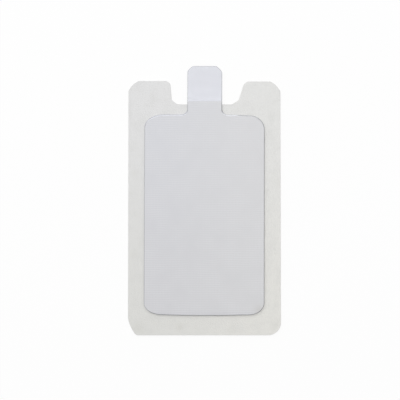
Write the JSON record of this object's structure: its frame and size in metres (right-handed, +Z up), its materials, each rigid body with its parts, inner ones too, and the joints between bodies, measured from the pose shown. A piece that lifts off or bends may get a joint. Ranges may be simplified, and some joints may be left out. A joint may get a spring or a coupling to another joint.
{
  "type": "electrosurgical grounding pad",
  "caption": "Flat adhesive grounding pad: a foam sheet with a notched top edge, a foil electrode whose tab takes a cable clamp, and a sheet of conductive gel that faces the skin.",
  "frame": {"origin": "middle of the pad's outline, on the surface that the foam backing lies on", "axes": "+Y from the bottom edge towards the clamp tab, +Z up out of the patient's side, +X to the right as the picture shows the pad"},
  "size_m": [0.114, 0.2014, 0.0023],
  "materials": {
    "foam": "cream-white closed-cell foam, matte",
    "foil": "bare aluminium foil, satin",
    "gel": "pale grey hydrogel, soft satin with fine cross lines"
  },
  "bodies": {
    "root": {"foam_backing": "foam", "foil_electrode": "foil", "conductive_gel": "gel"}
  },
  "joints": []
}
